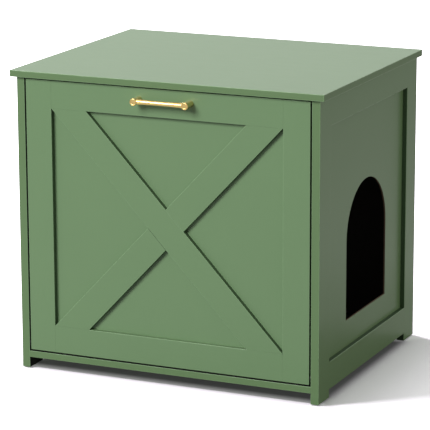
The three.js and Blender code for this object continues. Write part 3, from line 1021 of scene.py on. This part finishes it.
def turn(
    profile: Sequence[tuple[float, float]],
    start: Vector,
    axis: Vector,
    steps: int,
) -> bmesh.types.BMesh:
    """Turns a profile round an axis into a closed shell.

    Args:
        profile: Pairs of radius and distance along the axis, both ends at radius 0.
        start: The axis's starting point.
        axis: The axis's direction.
        steps: How many faces go round.

    Returns:
        A bmesh of the shell.
    """
    bm = bmesh.new()
    outward = axis.orthogonal().normalized()
    verts = [
        bm.verts.new(start + axis * along + outward * radius)
        for radius, along in profile
    ]
    edges = [bm.edges.new(pair) for pair in pairwise(verts)]
    bmesh.ops.spin(
        bm,
        geom=[*verts, *edges],
        cent=start,
        axis=axis,
        angle=math.tau,
        steps=steps,
        use_merge=True,
        use_duplicate=False,
    )
    bmesh.ops.remove_doubles(bm, verts=bm.verts, dist=SAME_POINT_ON_A_TURNING)
    bmesh.ops.recalc_face_normals(bm, faces=bm.faces)
    return bm


def rounded(
    corner: tuple[float, float],
    before: tuple[float, float],
    after: tuple[float, float],
    steps: int = 4,
) -> list[tuple[float, float]]:
    """Rounds a corner of a profile.

    Args:
        corner: The corner, which the curve is pulled to.
        before: Where the curve starts.
        after: Where it ends.
        steps: How many lines make the curve.

    Returns:
        The curve's points.
    """
    return [
        tuple(
            (1.0 - t) ** 2 * a + 2.0 * t * (1.0 - t) * c + t**2 * b
            for a, c, b in zip(before, corner, after)
        )
        for t in (index / steps for index in range(steps + 1))
    ]


@dataclass(frozen=True)
class BarHandle:
    """The brass bar handle: two round posts with dished ends, and a waisted bar."""

    post_radius: float = 6.5 * MM
    lip_width: float = 1.7 * MM
    dish_depth: float = 0.9 * MM
    rounding: float = 0.6 * MM
    shoulder_width: float = 1.0 * MM
    shoulder_length: float = 1.6 * MM
    bar_end_radius: float = 5.4 * MM
    bar_waist_radius: float = 4.3 * MM
    steps: int = 64
    bar_stations: int = 32

    def build(self, bench: Bench) -> None:
        """Makes the handle in one piece.

        Args:
            bench: The bench to make it on.
        """
        low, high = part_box("door_handle")
        middle = (low.z + high.z) / 2.0
        stations = (low.x + self.post_radius, high.x - self.post_radius)
        forward = Vector((0.0, -1.0, 0.0))
        length = high.y - low.y
        shells = [
            turn(
                self._post_profile(length),
                Vector((x, high.y, middle)),
                forward,
                self.steps,
            )
            for x in stations
        ]
        shells.append(
            turn(
                self._bar_profile(stations[1] - stations[0]),
                Vector((stations[0], low.y + self.post_radius, middle)),
                Vector((1.0, 0.0, 0.0)),
                self.steps,
            )
        )
        bench.fit(
            "brass_bar_handle",
            gather(shells),
            "door",
            [BRASS],
            ["door_handle"],
        )

    def _post_profile(self, length: float) -> list[tuple[float, float]]:
        """Draws a post's profile, from the door to its dished end.

        Args:
            length: The post's length.

        Returns:
            Pairs of radius and distance from the door.
        """
        radius, ease = self.post_radius, self.rounding
        dish = radius - self.lip_width
        floor = length - self.dish_depth
        return [
            (0.0, 0.0),
            (radius, 0.0),
            *rounded(
                (radius, length),
                (radius, length - self.shoulder_length),
                (radius - self.shoulder_width, length),
                steps=6,
            ),
            *rounded(
                (dish, length), (dish + ease / 2, length), (dish, length - ease / 2)
            ),
            *rounded(
                (dish - ease, floor),
                (dish - ease / 2, floor + ease / 2),
                (dish - 2 * ease, floor),
            ),
            (0.0, floor - ease / 4),
        ]

    def _bar_profile(self, length: float) -> list[tuple[float, float]]:
        """Draws the bar's profile, thinnest in its middle.

        Args:
            length: The bar's length.

        Returns:
            Pairs of radius and distance from one end.
        """
        swell = self.bar_end_radius - self.bar_waist_radius
        points = [
            (
                self.bar_waist_radius
                + swell * (2.0 * index / self.bar_stations - 1.0) ** 2,
                length * index / self.bar_stations,
            )
            for index in range(self.bar_stations + 1)
        ]
        return [(0.0, 0.0), *points, (0.0, length)]


def gather(shells: Iterable[bmesh.types.BMesh]) -> bmesh.types.BMesh:
    """Puts several shells in one bmesh, and frees them.

    Args:
        shells: The shells.

    Returns:
        A bmesh that holds them all.
    """
    whole = bmesh.new()
    for shell in shells:
        carrier = bpy.data.meshes.new("carrier")
        shell.to_mesh(carrier)
        shell.free()
        whole.from_mesh(carrier)
        bpy.data.meshes.remove(carrier)
    return whole


# ------------------------------------------------------------------ hardware


@dataclass(frozen=True)
class Hardware:
    """Catches, strike plates, screws, pivots, cam joints and glides."""

    catch_easing: float = 0.5 * MM
    screw_easing: float = 0.15 * MM
    pole_width: float = 1.6 * MM
    pole_depth: float = 4.0 * MM
    pole_height: float = 9.0 * MM
    pole_easing: float = 0.2 * MM
    pole_spacing: float = 14.0 * MM
    pole_rise: float = 1.0 * MM
    pole_stand_out: float = 0.25 * MM

    def build(self, bench: Bench) -> None:
        """Dresses the hardware, and adds the catches' pole plates.

        Args:
            bench: The bench to work on.
        """
        for side in Side:
            label = side.label
            bench.dress(f"{label}_catch", WHITE_PLASTIC, self.catch_easing)
            self._pole_plates(side, bench)
            for screw in (
                "catch_screw_1",
                "catch_screw_2",
                "handle_screw",
                "strike_screw",
            ):
                bench.dress(f"{label}_{screw}", ZINC, self.screw_easing)
            bench.dress(f"{label}_strike_plate", ZINC, self.screw_easing)
            bench.dress(f"{label}_pivot_pin", BLACKENED)
            bench.dress(f"{label}_pivot_bush", BLACK_PLASTIC, self.screw_easing)
            for place in ("front", "rear"):
                bench.dress(f"{label}_{place}_glide", BLACK_PLASTIC, self.screw_easing)
                for board in ("top", "base"):
                    bench.dress(f"{label}_{board}_{place}_cam_lock", CAST)
                    bench.dress(f"{label}_{board}_{place}_cam_bolt", ZINC)

    def _pole_plates(self, side: Side, bench: Bench) -> None:
        """Makes the two steel pole plates in the front of one catch.

        Args:
            side: Which catch.
            bench: The bench to make them on.
        """
        low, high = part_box(f"{side.label}_catch")
        centre = (low.x + high.x) / 2.0
        plates = []
        for shift in (-0.5, 0.5):
            bm = bmesh.new()
            bmesh.ops.create_cube(bm, size=1.0)
            bmesh.ops.scale(
                bm,
                vec=(self.pole_width, self.pole_depth, self.pole_height),
                verts=bm.verts,
            )
            bmesh.ops.bevel(
                bm,
                geom=list(bm.edges),
                offset=self.pole_easing,
                offset_type="OFFSET",
                affect="EDGES",
                segments=2,
                profile=0.5,
                material=-1,
            )
            bmesh.ops.translate(
                bm,
                vec=(
                    centre + shift * self.pole_spacing,
                    low.y - self.pole_stand_out + self.pole_depth / 2.0,
                    low.z + self.pole_height / 2.0 + self.pole_rise,
                ),
                verts=bm.verts,
            )
            plates.append(bm)
        bench.fit(
            f"{side.label}_catch_pole_plates",
            gather(plates),
            "carcass",
            [ZINC],
        )


# ------------------------------------------------------------------ studio


@dataclass(frozen=True)
class PhotoCamera:
    """The camera that was fitted to the photograph."""

    lens_mm: float = 209.782
    sensor_mm: float = 36.0
    place: Colour = (1.82763, -4.07211, 1.34192)
    yaw: float = 24.26026
    pitch: float = -13.59699
    roll: float = -0.19266
    far_clip: float = 60.0

    def build(self) -> None:
        """Adds the camera and makes it the scene's."""
        data = bpy.data.cameras.new("photo camera")
        data.lens = self.lens_mm
        data.sensor_width = self.sensor_mm
        data.clip_end = self.far_clip
        camera = bpy.data.objects.new("photo camera", data)
        turn_to = Euler(
            (math.radians(90.0 + self.pitch), 0.0, math.radians(self.yaw)), "XYZ"
        ).to_matrix()
        spin_by = Matrix.Rotation(math.radians(self.roll), 3, "Z")
        camera.matrix_world = Matrix.Translation(self.place) @ (
            (turn_to @ spin_by).to_4x4()
        )
        bpy.context.scene.collection.objects.link(camera)
        bpy.context.scene.camera = camera


class Reach(Enum):
    """What a lamp lights."""

    ALL = "all"
    CABINET = "cabinet"
    FLOOR = "floor"


@dataclass(frozen=True)
class SoftBox:
    """A square studio lamp that looks at the cabinet from a bearing.

    At a level of 1, a white board that faces the lamp looks white.
    """

    name: str
    bearing: float
    height: float
    distance: float
    size: float
    level: float
    reach: Reach = Reach.ALL
    tint: Colour = WHITE

    def build(self, target: Vector, floor: bpy.types.Object) -> None:
        """Adds the lamp.

        Args:
            target: What the lamp looks at.
            floor: The studio's floor.
        """
        data = bpy.data.lights.new(self.name, "AREA")
        data.shape = "SQUARE"
        data.size = self.size
        data.energy = self.level * math.pi**2 * self.distance**2
        data.color = self.tint
        lamp = bpy.data.objects.new(self.name, data)
        azimuth, rise = math.radians(self.bearing), math.radians(self.height)
        towards = Vector(
            (
                math.sin(azimuth) * math.cos(rise),
                -math.cos(azimuth) * math.cos(rise),
                math.sin(rise),
            )
        )
        lamp.location = target + towards * self.distance
        lamp.rotation_euler = towards.to_track_quat("Z", "Y").to_euler()
        bpy.context.scene.collection.objects.link(lamp)
        if self.reach is not Reach.ALL:
            lit = bpy.data.collections.new(f"{self.name} lights")
            lit.objects.link(floor)
            state = "INCLUDE" if self.reach is Reach.FLOOR else "EXCLUDE"
            lit.collection_objects[0].light_linking.link_state = state
            lamp.light_linking.receiver_collection = lit


@dataclass(frozen=True)
class Studio:
    """A white floor, its lamps and an even sky.

    Under the cabinet the camera sees the floor in floor_shade, which is painted shade,
    and in the open in floor_gain, with painted light, glow, that grows with the distance
    from the footprint and lightens the cast shadow away from the cabinet. Light that
    bounces sees a grey floor, so that the floor throws no more light upwards.
    """

    floor_half: float = 12.0
    floor_drop: float = 0.1 * MM
    floor_paint: float = 0.3
    floor_shade: Colour = (0.55, 0.55, 0.55)
    floor_gain: Colour = (2.22, 2.06, 2.28)
    footprint: tuple[float, float] = (0.28, 0.19)
    reach: float = 1.5
    open_by: tuple[Span, ...] = ((0.0, 0.0), (0.045, 1.0))
    # Painted light on the floor: its brightness by distance from the footprint, which
    # shapes the cast shadow.
    glow: tuple[Span, ...] = (
        (0.0, 0.03),
        (0.007, 0.06),
        (0.022, 0.2),
        (0.05, 0.18),
        (0.1, 0.32),
        (0.15, 0.44),
        (1.5, 1.0),
    )
    sky: float = 0.15
    aim: Colour = (0.0, 0.0, 0.3)
    lamps: tuple[SoftBox, ...] = (
        SoftBox(
            "key lamp",
            bearing=-18.0,
            height=30.0,
            distance=7.0,
            size=3.0,
            level=0.87,
            reach=Reach.CABINET,
        ),
        SoftBox(
            "rear lamp",
            bearing=-117.0,
            height=50.0,
            distance=5.0,
            size=0.9,
            level=0.45,
        ),
        SoftBox(
            "side lamp",
            bearing=100.0,
            height=8.0,
            distance=5.0,
            size=1.5,
            level=0.17,
            reach=Reach.CABINET,
            tint=(1.0, 0.95, 0.72),
        ),
        SoftBox(
            "floor lamp",
            bearing=-48.0,
            height=50.0,
            distance=5.0,
            size=0.9,
            level=0.45,
            reach=Reach.FLOOR,
        ),
    )

    def build(self) -> None:
        """Adds the floor, the lamps and the sky."""
        floor = self._floor()
        for lamp in self.lamps:
            lamp.build(Vector(self.aim), floor)
        self._sky()
        bpy.context.scene.view_settings.view_transform = "Standard"

    def _seen(self, graph: Graph) -> tuple[Wire, Wire]:
        """Tells rays that show the floor or sky from those that light the cabinet.

        Args:
            graph: The graph to add the masks to.

        Returns:
            A mask of all rays that show it, and one of the camera's own rays.
        """
        camera, glossy, through = (
            graph.add("ShaderNodeLightPath", output=name)
            for name in ("Is Camera Ray", "Is Glossy Ray", "Is Transmission Ray")
        )
        return camera.either(glossy).either(through), camera

    def _floor(self) -> bpy.types.Object:
        """Adds the floor.

        Returns:
            The floor's object.
        """
        bm = bmesh.new()
        bmesh.ops.create_grid(bm, x_segments=1, y_segments=1, size=self.floor_half)
        mesh = bpy.data.meshes.new("studio_floor")
        bm.to_mesh(mesh)
        bm.free()
        mesh.materials.append(self._floor_material())
        floor = bpy.data.objects.new("studio_floor", mesh)
        floor.location.z = -self.floor_drop
        bpy.context.scene.collection.objects.link(floor)
        return floor

    def _floor_material(self) -> bpy.types.Material:
        """Makes the floor's material, which is white and keeps the shadow.

        Returns:
            The material.
        """
        material, graph, place = new_material("white studio floor")
        x, y = (
            abs(graph.add("ShaderNodeSeparateXYZ", None, {0: place}, output=axis))
            for axis in "XY"
        )
        away = (x - self.footprint[0]).either(y - self.footprint[1])
        glow, share = (
            graph.add(
                "ShaderNodeValToRGB",
                {"stops": [(at / self.reach, (tone, tone, tone)) for at, tone in stops]},
                {0: away * (1.0 / self.reach)},
            )
            for stops in (self.glow, self.open_by)
        )
        seen, by_camera = self._seen(graph)
        plain, white, shade = (
            graph.add("ShaderNodeBsdfDiffuse", None, {"Color": tone})
            for tone in (
                rgba((self.floor_paint,) * 3),
                rgba(WHITE),
                graph.blend(share, self.floor_shade, self.floor_gain),
            )
        )
        paper = graph.add("ShaderNodeMixShader", None, {0: seen, 1: plain, 2: white})
        shine = graph.add("ShaderNodeEmission", None, {"Color": glow, "Strength": 1.0})
        lifted = graph.add("ShaderNodeAddShader", None, {0: shine, 1: shade})
        mixed = graph.add(
            "ShaderNodeMixShader", None, {0: by_camera, 1: paper, 2: lifted}
        )
        graph.add("ShaderNodeOutputMaterial", None, {"Surface": mixed})
        return material

    def _sky(self) -> None:
        """Makes the world white where it is seen, and softer where it lights."""
        world = bpy.data.worlds.new("studio sky")
        world.use_nodes = True
        graph = Graph(world.node_tree)
        soft, bright = (
            graph.add(
                "ShaderNodeBackground", None, {"Color": rgba(WHITE), "Strength": to}
            )
            for to in (self.sky, 1.0)
        )
        seen, _ = self._seen(graph)
        mixed = graph.add("ShaderNodeMixShader", None, {0: seen, 1: soft, 2: bright})
        graph.add("ShaderNodeOutputWorld", None, {"Surface": mixed})
        bpy.context.scene.world = world


# ------------------------------------------------------------------ assembly


def main() -> None:
    """Builds the cabinet's looks and the studio."""
    logging.basicConfig(level=logging.INFO, format="%(name)s: %(message)s")
    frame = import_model()
    PhotoCamera().build()
    Studio().build()
    bench = Bench(frame)
    makers: list[Callable[[Bench], None]] = [
        Carcass().build,
        Door().build,
        BarHandle().build,
        Hardware().build,
    ]
    for make in makers:
        make(bench)


if __name__ == "__main__":
    main()
